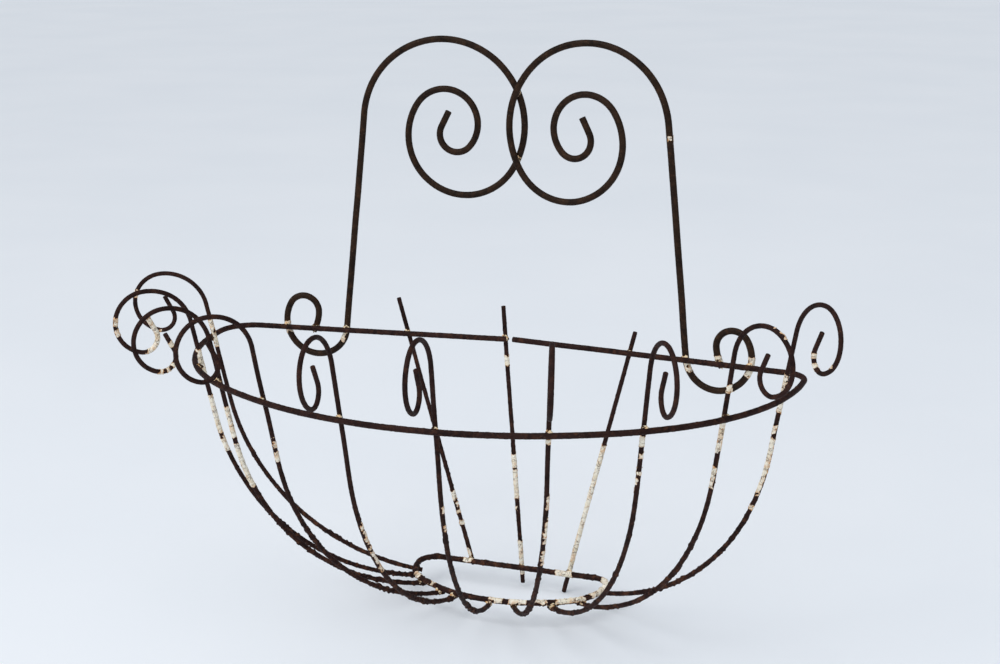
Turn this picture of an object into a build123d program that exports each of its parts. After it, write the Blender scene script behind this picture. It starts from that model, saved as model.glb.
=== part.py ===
from build123d import *
import os
from math import asin, atan2, cos, degrees, radians, sin, sqrt, tan

os.makedirs("parts", exist_ok=True)

# Half-round wall planter basket of welded round wire.
# +Z is up, the wall is at +Y, the bowl bulges towards -Y, +X is the right hand seen from the front.
# The origin is the upper crossing of the two back scrolls, where a wall hook carries the basket.

# ---------------------------------------------------------------- driving sizes (mm, degrees)
frame_wire = 5.0            # diameter of the rim and base ring wire
rib_wire = 4.0              # diameter of the ribs and the back stays
scroll_wire = 6.0           # diameter of the two back scrolls
weld_gap = 0.3              # space that the weld bead fills between two crossing wires
weld_spread = 1.0           # how far a weld bead spreads beyond the thicker of its two wires
weld_depth = 3.4            # height of a weld bead, square to the two wires
weld_bevel = 0.6

rim_width = 550.0
rim_depth = 268.0
rim_back_sweep = 6.0        # each half of the back runs forward of square by this angle
rim_shoulder_angle = 55.0   # turn of the side arc before the flatter front arc starts
rim_left_corner = 30.0
rim_right_corner = 20.0
rim_left_end = 8.0          # distance of the left wire end from the middle of the back
rim_end_gap = 6.5           # opening between the two wire ends

bowl_height = 227.0         # rim wire centre to base ring wire centre
base_width = 188.0
base_depth = 78.0
base_corner = 16.0
base_shoulder_angle = 57.0

stay_top_x = (-112.0, -12.0, 117.0)
stay_top_rise = (33.0, 30.0, 19.0)      # above the rim
stay_foot_x = (-46.0, 5.0, 46.0)
stay_foot_drop = (5.0, 17.0, 21.0)      # below the base ring
stay_names = ("back_stay_left", "back_stay_centre", "back_stay_right")

lens_width = 13.8           # overlap of the two crowns at the middle, between their axes
scroll_tilt = 5.8           # each leg leans towards the middle
scroll_lean_back = 1.7      # the scrolls lean towards the wall
scroll_leg = 205.0          # straight leg above the rim
crown_radius = 76.0
crown_turn = 205.0
loop_radius = 53.0
loop_turn = 183.0
spiral_radius = 31.0
spiral_turn = 188.0
eye_radius = 16.0
eye_turn = 165.0
scroll_tail = 15.0
knee_reach = 9.0            # half length of the gentle set in each leg

curl_radii = (29.0, 32.5, 15.0, 41.0)   # curl of each back scroll below and above the rim
curl_turns = (106.0, 98.0, 155.0, 26.0)

foot_rise = 13.0            # slope of the rib where it leaves the base ring
foot_length = 5.0           # straight foot outside the base ring
foot_tip = 5.0              # and inside it
leg_slope = 79.0            # slope of the rib where it passes the rim
tip_radii = (37.5, 27.0, 12.2)          # scroll of each rib above the rim
tip_turns = (84.0, 160.0, 131.0)
tip_tail = 16.0
# one value per rib, from the left to the right
rim_bearing = (-73.5, -54.0, -44.0, -30.0, -12.0, 6.0, 25.0, 40.5, 55.0, 71.0)
base_bearing = (-76.0, -67.0, -55.5, -38.0, -26.5, 0.5, 17.5, 41.5, 59.0, 78.5)
rib_rise = (33.0, 44.0, 41.0, 48.0, 48.0, 55.0, 54.0, 51.0, 55.0, 56.0)
rib_twist = (8.0, 2.0, -2.0, -12.0, 10.0, -3.0, -10.0, -8.0, 0.0, -27.0)

# ---------------------------------------------------------------- derived sizes
rib_seat = (frame_wire + rib_wire) / 2 + weld_gap
scroll_seat = (frame_wire + scroll_wire) / 2 + weld_gap
cross_seat = scroll_wire + weld_gap
UP = Vector(0, 0, 1)
BACK = Vector(0, 1, 0)


class WireD:
    """Half-round wire outline: two back halves, corner arcs, side arcs and one front arc."""

    def __init__(self, width, depth, corner, sweep_angle, shoulder_angle):
        sweep_rad = radians(sweep_angle)
        turn = radians(shoulder_angle)
        self.half = width / 2
        self.corner = corner
        self.sweep_angle = sweep_angle
        self.shoulder_angle = shoulder_angle
        self.back = (self.half - corner * (1 - sin(sweep_rad))) / cos(sweep_rad)
        self.corner_y = -self.back * sin(sweep_rad) - corner * cos(sweep_rad)
        reach = depth + self.corner_y
        # side radius a and front radius b close the outline at the middle of the front:
        # a (1 - cos) + b cos = half width, a sin + b (1 - sin) = reach
        det = (1 - cos(turn)) * (1 - sin(turn)) - cos(turn) * sin(turn)
        self.side_radius = (self.half * (1 - sin(turn)) - reach * cos(turn)) / det
        self.front_radius = (reach * (1 - cos(turn)) - self.half * sin(turn)) / det
        self.side_centre = Vector(self.half - self.side_radius, self.corner_y)
        self.front_centre = Vector(0, self.front_radius - depth)

    def meet(self, bearing):
        """Point and outward normal where a ray from the middle of the back meets the outline."""
        side = 1 if bearing >= 0 else -1
        ray = Vector(sin(radians(abs(bearing))), -cos(radians(abs(bearing))))
        turn = radians(self.shoulder_angle)
        join = self.side_centre + Vector(cos(turn), -sin(turn)) * self.side_radius
        on_side = abs(bearing) > degrees(atan2(join.X, -join.Y))
        centre = self.side_centre if on_side else self.front_centre
        radius = self.side_radius if on_side else self.front_radius
        along = ray.dot(centre)
        reach = along + sqrt(radius**2 - centre.dot(centre) + along**2)
        point = ray * reach
        normal = (point - centre).normalized()
        return Vector(side * point.X, point.Y), Vector(side * normal.X, normal.Y)

    def draw(self, side, start=0.0):
        """Draw one half from the back to the middle of the front."""
        sweep_rad = radians(self.sweep_angle)
        heading = Vector(side * cos(sweep_rad), -sin(sweep_rad))
        a = heading * start
        b = heading * self.back
        back = Line((a.X, a.Y), (b.X, b.Y))
        bend = JernArc(back @ 1, back % 1, self.corner, -side * (90 - self.sweep_angle))
        flank = JernArc(bend @ 1, bend % 1, self.side_radius, -side * self.shoulder_angle)
        front = JernArc(flank @ 1, flank % 1, self.front_radius, -side * (90 - self.shoulder_angle))
        return back, bend, flank, front


def seat_along(direction, line_a, line_b, seat):
    """Shift along direction that sets two crossing wires at the seat distance."""
    across = line_a.cross(line_b).normalized()
    return seat / abs(direction.dot(across))


def weld_seat(edge_a, edge_b, radius_a):
    """Plane midway between two crossing wires, square to the line that joins their axes."""
    a, b = edge_a.closest_points(edge_b)
    middle = a + (b - a).normalized() * (radius_a + weld_gap / 2)
    return Plane(origin=middle, z_dir=b - a)


rim_left = WireD(rim_width, rim_depth, rim_left_corner, rim_back_sweep, rim_shoulder_angle)
rim_right = WireD(rim_width, rim_depth, rim_right_corner, rim_back_sweep, rim_shoulder_angle)
base = WireD(base_width, base_depth, base_corner, 0.0, base_shoulder_angle)

# the two crowns cross on the middle plane: this fixes the rim below and in front of the origin
tilt = radians(scroll_tilt)
lean = radians(scroll_lean_back)
back_sweep = radians(rim_back_sweep)
crown_u = scroll_leg * sin(tilt) + crown_radius * cos(tilt)
crown_v = scroll_leg * cos(tilt) - crown_radius * sin(tilt)
middle_u = crown_u + crown_radius - lens_width / 2
scroll_spacing = 2 * middle_u * cos(back_sweep)
half_eye = sqrt(crown_radius**2 - (crown_radius - lens_width / 2) ** 2)
crossing_v = crown_v + half_eye
rim_z = -crossing_v * cos(lean)
rim_y = -scroll_seat - crossing_v * sin(lean)
base_z = rim_z - bowl_height

rim_plane = Plane(origin=(0, rim_y, rim_z))
base_plane = Plane(origin=(0, rim_y, base_z))

# ---------------------------------------------------------------- rim wire
with BuildPart() as rim_wire:
    with BuildLine(rim_plane) as rim_path:
        left_back = rim_left.draw(-1, rim_left_end)[0]
        right_back = rim_right.draw(1, rim_left_end * -1 + rim_end_gap)[0]
    with BuildSketch(Plane(origin=left_back @ 0, z_dir=left_back % 0)):
        Circle(frame_wire / 2)
    sweep()
rim_wire.part.label = "rim_wire"
export_step(rim_wire.part, "parts/rim_wire.step")
rim_axis = rim_path.wire()

# ---------------------------------------------------------------- base ring
with BuildPart() as base_ring:
    with BuildLine(base_plane) as base_path:
        base_back_left = base.draw(-1)[0]
        base_back_right = base.draw(1)[0]
    with BuildSketch(Plane(origin=base_back_right @ 0, z_dir=base_back_right % 0)):
        Circle(frame_wire / 2)
    sweep()
base_ring.part.label = "base_ring"
export_step(base_ring.part, "parts/base_ring.step")
base_axis = base_path.wire()

# ---------------------------------------------------------------- three straight back stays
stays = []
stay_axes = []
for name, top_x, rise, foot_x, drop in zip(
    stay_names, stay_top_x, stay_top_rise, stay_foot_x, stay_foot_drop
):
    share = rise / (rise + bowl_height + drop)
    rim_x = top_x + (foot_x - top_x) * share
    side = 1 if rim_x >= 0 else -1
    rim_back = Vector(side * cos(back_sweep), -sin(back_sweep), 0)
    slant = Vector(foot_x - top_x, 0, -(rise + bowl_height + drop)).normalized()
    at_rim = rim_y - abs(rim_x) * tan(back_sweep) + seat_along(BACK, rim_back, slant, rib_seat)
    at_base = rim_y + seat_along(BACK, Vector(1, 0, 0), slant, rib_seat)
    fall = (at_base - at_rim) / bowl_height
    top = Vector(top_x, at_rim - fall * rise, rim_z + rise)
    foot = Vector(foot_x, at_base + fall * drop, base_z - drop)
    with BuildPart() as stay:
        with BuildLine():
            axis = Line(top, foot)
        with BuildSketch(Plane(origin=axis @ 0, z_dir=axis % 0)):
            Circle(rib_wire / 2)
        sweep()
    stay.part.label = name
    export_step(stay.part, "parts/" + name + ".step")
    stays.append(stay.part)
    stay_axes.append(axis)

# ---------------------------------------------------------------- ten scrolled ribs
ribs = []
rib_legs = []
rib_feet = []
for number, (bearing, foot_bearing, rise, twist) in enumerate(
    zip(rim_bearing, base_bearing, rib_rise, rib_twist), start=1
):
    rim_shape = rim_right if bearing >= 0 else rim_left
    rim_point, rim_normal = rim_shape.meet(bearing)
    base_point, base_normal = base.meet(foot_bearing)
    outward = (rim_point - base_point).normalized()
    slope = radians(leg_slope)
    start = radians(foot_rise)
    leg_line = outward * cos(slope) + UP * sin(slope)
    foot_line = outward * cos(start) + UP * sin(start)
    inset = seat_along(outward, rim_normal.cross(UP), leg_line, rib_seat)
    below = seat_along(UP, base_normal.cross(UP), foot_line, rib_seat)
    span = (rim_point - base_point).length - inset - foot_length * cos(start)
    height = bowl_height + below - foot_length * sin(start)
    # one bowl arc and one straight leg join the foot to the rim
    a = sin(slope) - sin(start)
    b = cos(start) - cos(slope)
    det = a * sin(slope) - b * cos(slope)
    bowl_radius = (span * sin(slope) - height * cos(slope)) / det
    leg_length = (height * a - span * b) / det
    rib_plane = Plane(
        origin=Vector(base_point.X, base_point.Y + rim_y, base_z - below),
        x_dir=outward,
        z_dir=outward.cross(UP),
    )
    face_out = outward * sin(slope) - UP * cos(slope)
    twisted = face_out.rotate(Axis((0, 0, 0), leg_line), twist)
    with BuildPart() as rib:
        with BuildLine(rib_plane):
            foot = Line(
                (-foot_tip * cos(start), -foot_tip * sin(start)),
                (foot_length * cos(start), foot_length * sin(start)),
            )
            bowl = JernArc(foot @ 1, foot % 1, bowl_radius, leg_slope - foot_rise)
            leg = Line(bowl @ 1, (bowl @ 1) + leg_line * (leg_length + rise))
        with BuildLine(Plane(origin=leg @ 1, x_dir=twisted, z_dir=twisted.cross(leg_line))):
            crown = JernArc(leg @ 1, leg % 1, tip_radii[0], -tip_turns[0])
            loop = JernArc(crown @ 1, crown % 1, tip_radii[1], -tip_turns[1])
            curl = JernArc(loop @ 1, loop % 1, tip_radii[2], -tip_turns[2])
            tail = Line(curl @ 1, (curl @ 1) + (curl % 1) * tip_tail)
        with BuildSketch(Plane(origin=foot @ 0, z_dir=foot % 0)):
            Circle(rib_wire / 2)
        sweep()
    rib.part.label = f"rib_{number:02d}"
    export_step(rib.part, f"parts/rib_{number:02d}.step")
    ribs.append(rib.part)
    rib_legs.append(leg)
    rib_feet.append(foot)

# ---------------------------------------------------------------- two back scrolls
# The left one sets back and the right one sets forward by half a wire, so they cross face to face.
scrolls = []
scroll_axes = []
knee_v = scroll_leg * cos(tilt)
for name, side in (("back_scroll_left", -1), ("back_scroll_right", 1)):
    set_back = -side * cross_seat / 2
    leg_lean = asin(sin(lean) + set_back / knee_v)
    inward = Vector(-side * cos(back_sweep), sin(back_sweep), 0)
    root_y = rim_y - scroll_spacing / 2 * tan(back_sweep) + scroll_seat / cos(back_sweep)
    root = Vector(side * scroll_spacing / 2, root_y, rim_z)
    rise_low = Vector(0, sin(leg_lean), cos(leg_lean))
    rise_high = Vector(0, sin(lean), cos(lean))
    normal_low = inward.cross(rise_low).normalized()
    normal_high = inward.cross(rise_high).normalized()
    low_plane = Plane(origin=root, x_dir=inward, z_dir=normal_low)
    leg_low = (inward * sin(tilt) + low_plane.y_dir * cos(tilt)).normalized()
    knee = root + leg_low * scroll_leg
    high_plane = Plane(origin=knee, x_dir=inward, z_dir=normal_high)
    leg_high = (inward * sin(tilt) + high_plane.y_dir * cos(tilt)).normalized()
    with BuildPart() as scroll:
        with BuildLine(low_plane):
            leg = Line(root, knee - leg_low * knee_reach * 2)
            hook = JernArc(leg @ 0, (leg % 0) * -1, curl_radii[0], -curl_turns[0])
            rise_arc = JernArc(hook @ 1, hook % 1, curl_radii[1], -curl_turns[1])
            over = JernArc(rise_arc @ 1, rise_arc % 1, curl_radii[2], -curl_turns[2])
            end = JernArc(over @ 1, over % 1, curl_radii[3], -curl_turns[3])
        with BuildLine(high_plane):
            bend_to = knee - leg_low * knee_reach + leg_high * knee_reach
            knee_arc = TangentArc(leg @ 1, bend_to, tangent=leg % 1)
            crown = JernArc(bend_to, leg_high, crown_radius, -crown_turn)
            loop = JernArc(crown @ 1, crown % 1, loop_radius, -loop_turn)
            spiral = JernArc(loop @ 1, loop % 1, spiral_radius, -spiral_turn)
            eye = JernArc(spiral @ 1, spiral % 1, eye_radius, -eye_turn)
            tail = Line(eye @ 1, (eye @ 1) + (eye % 1) * scroll_tail)
        with BuildSketch(Plane(origin=tail @ 1, x_dir=normal_high, z_dir=tail % 1)):
            Circle(scroll_wire / 2)
        sweep()
    scroll.part.label = name
    export_step(scroll.part, "parts/" + name + ".step")
    scrolls.append(scroll.part)
    scroll_axes.append((leg, rise_arc, end))

# ---------------------------------------------------------------- weld beads, grouped by joint
frame_radius = frame_wire / 2
lens_foot = Vector(0, -2 * half_eye * sin(lean), -2 * half_eye * cos(lean))
lens_seats = (
    Plane(origin=(0, 0, 0), x_dir=(1, 0, 1), z_dir=BACK),
    Plane(origin=lens_foot, x_dir=(1, 0, 1), z_dir=BACK),
)


def weld_bead(seat, first, second, thicker):
    """Round bead that fills the crevices where two wires cross."""
    with BuildPart() as bead:
        with Locations(seat):
            Cylinder(thicker / 2 + weld_spread, weld_depth)
        chamfer(bead.edges().filter_by(GeomType.CIRCLE), weld_bevel)
        add(first, mode=Mode.SUBTRACT)
        add(second, mode=Mode.SUBTRACT)
    return bead.part


def bead_row(frame_axis, frame_part, axes, wires):
    """One bead at each crossing of a frame wire with a row of thinner wires."""
    seats = [weld_seat(frame_axis, axis, frame_radius) for axis in axes]
    return [weld_bead(s, frame_part, w, frame_wire) for s, w in zip(seats, wires)]


def scroll_beads(back_edge, number):
    """Three beads between the rim and one back scroll."""
    seats = [weld_seat(back_edge, axis, frame_radius) for axis in scroll_axes[number]]
    return [weld_bead(s, rim_wire.part, scrolls[number], scroll_wire) for s in seats]


weld_groups = (
    ("welds_rim_ribs", bead_row(rim_axis, rim_wire.part, rib_legs, ribs)),
    ("welds_base_ribs", bead_row(base_axis, base_ring.part, rib_feet, ribs)),
    ("welds_rim_stays", bead_row(rim_axis, rim_wire.part, stay_axes, stays)),
    ("welds_base_stays", bead_row(base_axis, base_ring.part, stay_axes, stays)),
    ("welds_scroll_left", scroll_beads(left_back, 0)),
    ("welds_scroll_right", scroll_beads(right_back, 1)),
    (
        "welds_scroll_crossings",
        [weld_bead(s, scrolls[0], scrolls[1], scroll_wire) for s in lens_seats],
    ),
)
for name, beads in weld_groups:
    with BuildPart() as group:
        for bead in beads:
            add(bead)
    group.part.label = name
    export_step(group.part, "parts/" + name + ".step")
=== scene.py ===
import math

import bpy
import numpy as np
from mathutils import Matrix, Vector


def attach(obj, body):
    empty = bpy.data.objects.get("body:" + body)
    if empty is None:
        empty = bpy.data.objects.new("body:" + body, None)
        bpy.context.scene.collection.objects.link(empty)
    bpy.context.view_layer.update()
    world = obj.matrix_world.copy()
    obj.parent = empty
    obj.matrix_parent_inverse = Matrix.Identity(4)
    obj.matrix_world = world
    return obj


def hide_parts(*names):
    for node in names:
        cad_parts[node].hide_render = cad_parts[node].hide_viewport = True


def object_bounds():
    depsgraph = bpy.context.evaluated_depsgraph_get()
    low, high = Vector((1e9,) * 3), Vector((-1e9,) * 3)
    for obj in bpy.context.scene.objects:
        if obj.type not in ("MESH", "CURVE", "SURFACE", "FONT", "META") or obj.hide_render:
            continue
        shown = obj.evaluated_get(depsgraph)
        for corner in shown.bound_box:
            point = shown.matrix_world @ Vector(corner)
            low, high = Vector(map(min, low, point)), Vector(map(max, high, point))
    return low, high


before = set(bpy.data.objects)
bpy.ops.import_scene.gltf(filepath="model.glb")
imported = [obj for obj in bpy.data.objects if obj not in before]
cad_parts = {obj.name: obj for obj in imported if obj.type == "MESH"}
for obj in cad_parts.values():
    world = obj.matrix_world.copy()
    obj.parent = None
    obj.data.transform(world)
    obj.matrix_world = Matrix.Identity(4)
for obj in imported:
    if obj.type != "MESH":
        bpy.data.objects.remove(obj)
CAD_LO, CAD_HI = [np.array(v) * 1000 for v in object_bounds()]

# Everything below is in mm and degrees in the row frame until a mesh is made.
# ---------------------------------------------------------------- sizes of the wire layout
FRAME_R = 2.5  # radius of the rim and base ring wire
RIB_R = 2.0  # radius of the ribs and back stays
SCROLL_R = 3.0  # radius of the two back scrolls
GAP = 0.3  # thickness of a weld between two wires
RIM_W, RIM_D = 550.0, 268.0  # width and depth of the rim, on its wire's axis
RIM_SWEEP = 6.0  # how far each half of the rim's back is swept forward
RIM_TURN = 55.0  # turn of the rim's side arc
RIM_CORNERS = {-1: 30.0, 1: 20.0}  # radius of its left and right back corners
RIM_LEFT_END, RIM_END_GAP = 8.0, 6.5  # where the rim wire ends, and the gap there
BOWL = 227.0  # height from the base ring to the rim
BASE_W, BASE_D = 188.0, 78.0  # width and depth of the base ring
BASE_CORNER, BASE_TURN = 16.0, 57.0  # its corner radius and the turn of its side arc
# back stays: x at the top, rise above the rim, x at the foot, drop below the base ring
STAYS = {
    "back_stay_left": (-112.0, 33.0, -46.0, 5.0),
    "back_stay_centre": (-12.0, 30.0, 5.0, 17.0),
    "back_stay_right": (117.0, 19.0, 46.0, 21.0),
}
LENS_W = 13.8  # overlap of the two crowns at the middle
TILT, LEAN = 5.8, 1.7  # each leg's tilt to the middle, and the scrolls' lean to the wall
LEG = 205.0  # straight leg of a back scroll above the rim
KNEE = 9.0  # reach of the small bend between leg and crown
# arcs of a wire as (radius, turn)
SCROLL_ARCS = ((76.0, 205.0), (53.0, 183.0), (31.0, 188.0), (16.0, 165.0))
SCROLL_TAIL = 15.0
CURL_ARCS = ((29.0, 106.0), (32.5, 98.0), (15.0, 155.0), (41.0, 26.0))
FOOT_RISE, LEG_SLOPE = 13.0, 79.0  # slope of a rib at the base ring and at the rim
FOOT_LEN, FOOT_TIP = 5.0, 5.0  # straight foot outside and inside the base ring
TIP_ARCS = ((37.5, 84.0), (27.0, 160.0), (12.2, 131.0))
TIP_TAIL = 16.0
# one value for each rib, from the left to the right
RIM_BEARING = (-73.5, -54.0, -44.0, -30.0, -12.0, 6.0, 25.0, 40.5, 55.0, 71.0)
BASE_BEARING = (-76.0, -67.0, -55.5, -38.0, -26.5, 0.5, 17.5, 41.5, 59.0, 78.5)
RIB_RISE = (33.0, 44.0, 41.0, 48.0, 48.0, 55.0, 54.0, 51.0, 55.0, 56.0)
RIB_TWIST = (8.0, 2.0, -2.0, -12.0, 10.0, -3.0, -10.0, -8.0, 0.0, -27.0)

UP = np.array([0.0, 0.0, 1.0])
BACK = np.array([0.0, 1.0, 0.0])
rad, sin, cos, tan = math.radians, math.sin, math.cos, math.tan


def vec(*xyz):
    return np.array(xyz, float)


def unit(v):
    return v / np.linalg.norm(v)


def turn(v, axis, degrees):
    """v turned about a unit axis by the right-hand rule."""
    a = rad(degrees)
    return v * cos(a) + np.cross(axis, v) * sin(a) + axis * (axis @ v) * (1 - cos(a))


class Path:
    """A wire's axis: straight runs and arcs, walked from one end to the other."""

    pitch = 0.5  # between two points on the axis

    def __init__(self, start, heading, normal):
        self.p, self.t, self.n = np.array(start, float), unit(heading), unit(normal)
        self.points, self.tangents = [self.p.copy()], [self.t.copy()]

    def line(self, length):
        steps = max(1, int(length / self.pitch))
        for k in range(1, steps + 1):
            self.points.append(self.p + self.t * length * k / steps)
            self.tangents.append(self.t.copy())
        self.p = self.points[-1].copy()
        return self

    def arc(self, radius, degrees):
        """An arc about the normal, to the left if degrees is positive."""
        side = 1.0 if degrees > 0 else -1.0
        centre = self.p + np.cross(self.n, self.t) * radius * side
        arm, t = self.p - centre, self.t
        steps = max(2, int(radius * rad(abs(degrees)) / self.pitch))
        for k in range(1, steps + 1):
            self.points.append(centre + turn(arm, self.n, degrees * k / steps))
            self.tangents.append(turn(t, self.n, degrees * k / steps))
        self.p, self.t = self.points[-1].copy(), self.tangents[-1].copy()
        return self

    def knee(self, end, heading, normal):
        """A small bend from one straight run into another that lies in another plane."""
        start, t0 = self.p, self.t
        reach = np.linalg.norm(end - start) / 2
        for k in range(1, 21):
            u = k / 20
            corner = start + t0 * reach
            self.points.append(start * (1 - u) ** 2 + corner * 2 * u * (1 - u) + end * u * u)
            self.tangents.append(unit(t0 * (1 - u) + heading * u))
        self.p, self.t, self.n = end.copy(), unit(heading), unit(normal)
        return self

    def sample(self, step):
        """Evenly spaced points, their tangents and their distance along the wire."""
        p, t = np.array(self.points), np.array(self.tangents)
        s = np.concatenate([[0], np.cumsum(np.linalg.norm(np.diff(p, axis=0), axis=1))])
        count = max(4, int(round(s[-1] / step)))
        at = np.linspace(0, s[-1], count + 1)
        pos = np.stack([np.interp(at, s, p[:, k]) for k in range(3)], 1)
        heading = np.stack([np.interp(at, s, t[:, k]) for k in range(3)], 1)
        return pos, heading / np.linalg.norm(heading, axis=1, keepdims=True), at


class WireD:
    """One half of a D outline: swept back, corner, side arc and front arc, all tangent."""

    def __init__(self, width, depth, corner, sweep, shoulder):
        sw, tu, half = rad(sweep), rad(shoulder), width / 2
        self.corner, self.sweep, self.shoulder, self.depth = corner, sweep, shoulder, depth
        self.back = (half - corner * (1 - sin(sw))) / cos(sw)
        self.corner_y = -self.back * sin(sw) - corner * cos(sw)
        reach = depth + self.corner_y
        det = (1 - cos(tu)) * (1 - sin(tu)) - cos(tu) * sin(tu)
        self.side_r = (half * (1 - sin(tu)) - reach * cos(tu)) / det
        self.front_r = (reach * (1 - cos(tu)) - half * sin(tu)) / det
        self.side_c = vec(half - self.side_r, self.corner_y, 0)
        self.front_c = vec(0, self.front_r - depth, 0)

    def meet(self, bearing):
        """The point of the outline at a bearing from straight ahead, and the normal there."""
        side = 1 if bearing >= 0 else -1
        b, tu = rad(abs(bearing)), rad(self.shoulder)
        ray = vec(sin(b), -cos(b), 0)
        join = self.side_c + vec(cos(tu), -sin(tu), 0) * self.side_r
        on_side = abs(bearing) > math.degrees(math.atan2(join[0], -join[1]))
        centre, r = (self.side_c, self.side_r) if on_side else (self.front_c, self.front_r)
        along = ray @ centre
        point = ray * (along + math.sqrt(r * r - centre @ centre + along * along))
        normal = unit(point - centre)
        flip = vec(side, 1, 1)
        return point * flip, normal * flip


def seat_along(direction, a, b, seat):
    """How far apart along a direction two crossing wires lie, if they lie seat apart."""
    return seat / abs(direction @ unit(np.cross(a, b)))


rib_seat = FRAME_R + RIB_R + GAP  # axis to axis where a rib or stay meets the frame
scroll_seat = FRAME_R + SCROLL_R + GAP
cross_seat = 2 * SCROLL_R + GAP
tilt, lean, sweep = rad(TILT), rad(LEAN), rad(RIM_SWEEP)
crown_r = SCROLL_ARCS[0][0]
crown_u = LEG * sin(tilt) + crown_r * cos(tilt)
crown_v = LEG * cos(tilt) - crown_r * sin(tilt)
middle_u = crown_u + crown_r - LENS_W / 2
spacing = 2 * middle_u * cos(sweep)
half_eye = math.sqrt(crown_r**2 - (crown_r - LENS_W / 2) ** 2)
crossing_v = crown_v + half_eye
RIM_Z = -crossing_v * cos(lean)
RIM_Y = -scroll_seat - crossing_v * sin(lean)
BASE_Z = RIM_Z - BOWL

rim_d = {k: WireD(RIM_W, RIM_D, c, RIM_SWEEP, RIM_TURN) for k, c in RIM_CORNERS.items()}
base_d = WireD(BASE_W, BASE_D, BASE_CORNER, 0.0, BASE_TURN)
wires = {}  # node: (path, wire radius, is the path closed)


def d_path(left, right, y, z, left_start, right_end):
    """A D from the middle of its back round to the left, the front and the right."""
    out = vec(-cos(rad(left.sweep)), -sin(rad(left.sweep)), 0)
    path = Path(vec(0, y, z) + out * left_start, out, UP)
    path.line(left.back - left_start).arc(left.corner, 90 - left.sweep)
    path.arc(left.side_r, left.shoulder).arc(left.front_r, 90 - left.shoulder)
    path.arc(right.front_r, 90 - right.shoulder).arc(right.side_r, right.shoulder)
    return path.arc(right.corner, 90 - right.sweep).line(right.back - right_end)


def stay_path(top_x, rise, foot_x, drop):
    """A straight wire behind the rim and the base ring, fanned out upwards."""
    whole = rise + BOWL + drop
    rim_x = top_x + (foot_x - top_x) * rise / whole
    side = 1 if rim_x >= 0 else -1
    rim_back = vec(side * cos(sweep), -sin(sweep), 0)
    slant = unit(vec(foot_x - top_x, 0, -whole))
    at_rim = RIM_Y - abs(rim_x) * tan(sweep) + seat_along(BACK, rim_back, slant, rib_seat)
    at_base = RIM_Y + seat_along(BACK, vec(1, 0, 0), slant, rib_seat)
    fall = (at_base - at_rim) / BOWL
    top = vec(top_x, at_rim - fall * rise, RIM_Z + rise)
    foot = vec(foot_x, at_base + fall * drop, BASE_Z - drop)
    return Path(top, foot - top, BACK).line(np.linalg.norm(foot - top))


def rib_path(rim_bearing, base_bearing, rise, twist):
    """A foot under the base ring, the bowl's curve, a leg inside the rim and the scroll above it."""
    rim_p, rim_n = rim_d[1 if rim_bearing >= 0 else -1].meet(rim_bearing)
    base_p, base_n = base_d.meet(base_bearing)
    outward = unit(rim_p - base_p)
    slope, start = rad(LEG_SLOPE), rad(FOOT_RISE)
    leg_line = outward * cos(slope) + UP * sin(slope)
    foot_line = outward * cos(start) + UP * sin(start)
    inset = seat_along(outward, np.cross(rim_n, UP), leg_line, rib_seat)
    below = seat_along(UP, np.cross(base_n, UP), foot_line, rib_seat)
    # the bowl's arc and the leg are as long as the way from the foot to the rim needs
    span = np.linalg.norm(rim_p - base_p) - inset - FOOT_LEN * cos(start)
    height = BOWL + below - FOOT_LEN * sin(start)
    a, b = sin(slope) - sin(start), cos(start) - cos(slope)
    det = a * sin(slope) - b * cos(slope)
    bowl_r = (span * sin(slope) - height * cos(slope)) / det
    leg_len = (height * a - span * b) / det
    origin = vec(base_p[0], base_p[1] + RIM_Y, BASE_Z - below)
    path = Path(origin - foot_line * FOOT_TIP, foot_line, np.cross(outward, UP))
    path.line(FOOT_TIP + FOOT_LEN).arc(bowl_r, LEG_SLOPE - FOOT_RISE)
    path.line(leg_len + rise)
    face_out = outward * sin(slope) - UP * cos(slope)
    path.n = unit(np.cross(turn(face_out, leg_line, twist), leg_line))
    for radius, degrees in TIP_ARCS:
        path.arc(radius, -degrees)
    return path.line(TIP_TAIL)


def scroll_path(side):
    """From the curl at the rim up the leg, over the crown and into the spiral."""
    set_back = -side * cross_seat / 2
    leg_lean = math.asin(sin(lean) + set_back / (LEG * cos(tilt)))
    inward = vec(-side * cos(sweep), sin(sweep), 0)
    root_y = RIM_Y - spacing / 2 * tan(sweep) + scroll_seat / cos(sweep)
    root = vec(side * spacing / 2, root_y, RIM_Z)
    n_low = unit(np.cross(inward, vec(0, sin(leg_lean), cos(leg_lean))))
    n_high = unit(np.cross(inward, vec(0, sin(lean), cos(lean))))
    leg_low = unit(inward * sin(tilt) + np.cross(n_low, inward) * cos(tilt))
    leg_high = unit(inward * sin(tilt) + np.cross(n_high, inward) * cos(tilt))
    bend = root + leg_low * LEG
    curl = Path(root, -leg_low, n_low)
    for radius, degrees in CURL_ARCS:
        curl.arc(radius, -degrees)
    path = Path(root, leg_low, n_low).line(LEG - 2 * KNEE)
    path.knee(bend - leg_low * KNEE + leg_high * KNEE, leg_high, n_high)
    for radius, degrees in SCROLL_ARCS:
        path.arc(radius, -degrees)
    path.line(SCROLL_TAIL)
    path.points = curl.points[:0:-1] + path.points
    path.tangents = [-t for t in curl.tangents[:0:-1]] + path.tangents
    return path


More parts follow.
